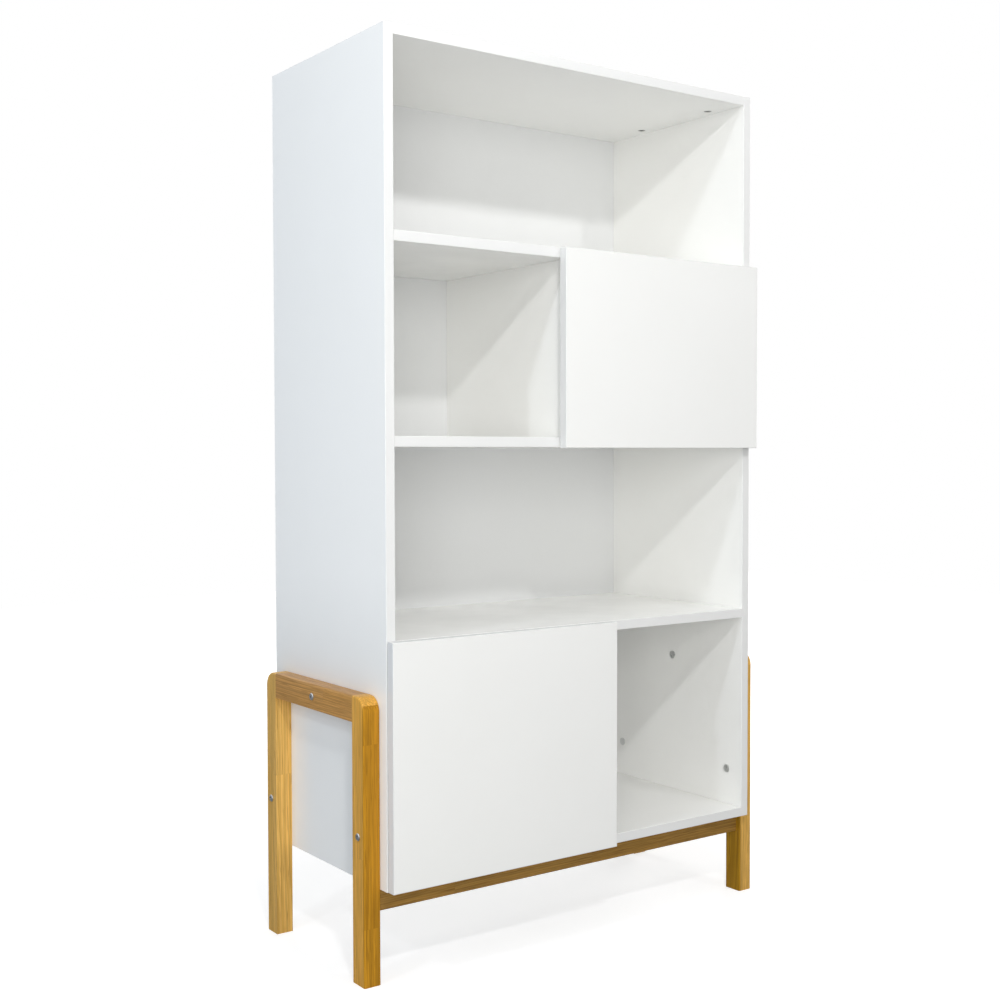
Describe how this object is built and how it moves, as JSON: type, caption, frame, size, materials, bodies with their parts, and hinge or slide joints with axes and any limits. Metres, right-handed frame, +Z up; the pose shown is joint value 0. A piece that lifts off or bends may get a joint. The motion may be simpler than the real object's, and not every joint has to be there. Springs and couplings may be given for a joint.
{
  "type": "bookcase",
  "caption": "Tall white laminated bookcase carried by oak side frames, with fixed shelves, upright partitions and overlay doors on concealed hinges.",
  "frame": {"origin": "on the floor, at the middle of the whole object's width and depth", "axes": "+X to the right seen from the front, +Y from the front to the back, +Z up"},
  "size_m": [0.9144, 0.427, 1.6],
  "materials": {
    "white_laminate": "white melamine foil on particle board, banded edges, satin",
    "back_board": "thin fibreboard, painted white",
    "oak": "glued-up solid oak, clear satin lacquer",
    "beech": "turned beech, plain",
    "zinc_plated_steel": "bright zinc plate",
    "die_cast_zinc": "bare die-cast zinc",
    "nickel_plated_steel": "nickel plate on pressed steel",
    "clear_bumper": "soft clear bumper"
  },
  "bodies": {
    "case": {"left_side_panel": "white_laminate", "right_side_panel": "white_laminate", "top_panel": "white_laminate", "bottom_panel": "white_laminate", "lower_shelf": "white_laminate", "middle_shelf": "white_laminate", "upper_shelf": "white_laminate", "upper_partition": "white_laminate", "lower_partition": "white_laminate", "back_panel": "back_board", "left_front_post": "oak", "left_rear_post": "oak", "left_top_rail": "oak", "right_front_post": "oak", "right_rear_post": "oak", "right_top_rail": "oak", "front_stretcher": "oak", "shelf_dowels": "beech", "partition_dowels": "beech", "rail_dowels": "beech", "stretcher_dowels": "beech", "frame_bolts": "zinc_plated_steel", "frame_sleeve_nuts": "zinc_plated_steel", "cam_housings": "die_cast_zinc", "cam_bolts": "zinc_plated_steel", "lower_hinge_plates": "nickel_plated_steel", "upper_hinge_plates": "nickel_plated_steel", "hinge_plate_screws": "nickel_plated_steel", "hinge_clamp_screws": "nickel_plated_steel", "lower_hinge_arms": "nickel_plated_steel", "upper_hinge_arms": "nickel_plated_steel", "lower_inner_nose_pins": "nickel_plated_steel", "upper_inner_nose_pins": "nickel_plated_steel", "lower_outer_nose_pins": "nickel_plated_steel", "upper_outer_nose_pins": "nickel_plated_steel"},
    "lower_inner_link": {"lower_hinge_inner_links": "nickel_plated_steel"},
    "lower_outer_link": {"lower_hinge_outer_links": "nickel_plated_steel", "lower_link_rivets": "nickel_plated_steel"},
    "lower_door": {"lower_door": "white_laminate", "lower_door_bumpers": "clear_bumper", "lower_hinge_cups": "nickel_plated_steel", "lower_cup_screws": "nickel_plated_steel", "lower_inner_cup_pins": "nickel_plated_steel"},
    "upper_inner_link": {"upper_hinge_inner_links": "nickel_plated_steel"},
    "upper_outer_link": {"upper_hinge_outer_links": "nickel_plated_steel", "upper_link_rivets": "nickel_plated_steel"},
    "upper_door": {"upper_door": "white_laminate", "upper_door_bumpers": "clear_bumper", "upper_hinge_cups": "nickel_plated_steel", "upper_cup_screws": "nickel_plated_steel", "upper_inner_cup_pins": "nickel_plated_steel"}
  },
  "joints": [
    {"name": "lower_inner_link_swing", "type": "hinge", "parent": "case", "child": "lower_inner_link", "pos_m": [-0.3875, -0.2049, 0.37275], "axis": [0, 0, -1], "range_deg": [-18.2, 0]},
    {"name": "lower_outer_link_swing", "type": "hinge", "parent": "case", "child": "lower_outer_link", "pos_m": [-0.3875, -0.1933, 0.37275], "axis": [0, 0, -1], "range_deg": [-37, 0]},
    {"name": "lower_door_swing", "type": "hinge", "parent": "lower_inner_link", "child": "lower_door", "pos_m": [-0.4103, -0.20445, 0.37275], "axis": [0, 0, -1], "range_deg": [0, 118]},
    {"name": "upper_inner_link_swing", "type": "hinge", "parent": "case", "child": "upper_inner_link", "pos_m": [0.3875, -0.2049, 1.0825], "axis": [0, 0, 1], "range_deg": [-18.2, 0]},
    {"name": "upper_outer_link_swing", "type": "hinge", "parent": "case", "child": "upper_outer_link", "pos_m": [0.3875, -0.1933, 1.0825], "axis": [0, 0, 1], "range_deg": [-37, 0]},
    {"name": "upper_door_swing", "type": "hinge", "parent": "upper_inner_link", "child": "upper_door", "pos_m": [0.4103, -0.20445, 1.0825], "axis": [0, 0, 1], "range_deg": [0, 118]}
  ],
  "couplings": [
    {"joint": "lower_inner_link_swing", "follows": "lower_door_swing", "ratio": -0.15254},
    {"joint": "lower_outer_link_swing", "follows": "lower_door_swing", "ratio": -0.31186},
    {"joint": "upper_inner_link_swing", "follows": "upper_door_swing", "ratio": -0.15254},
    {"joint": "upper_outer_link_swing", "follows": "upper_door_swing", "ratio": -0.31186}
  ]
}
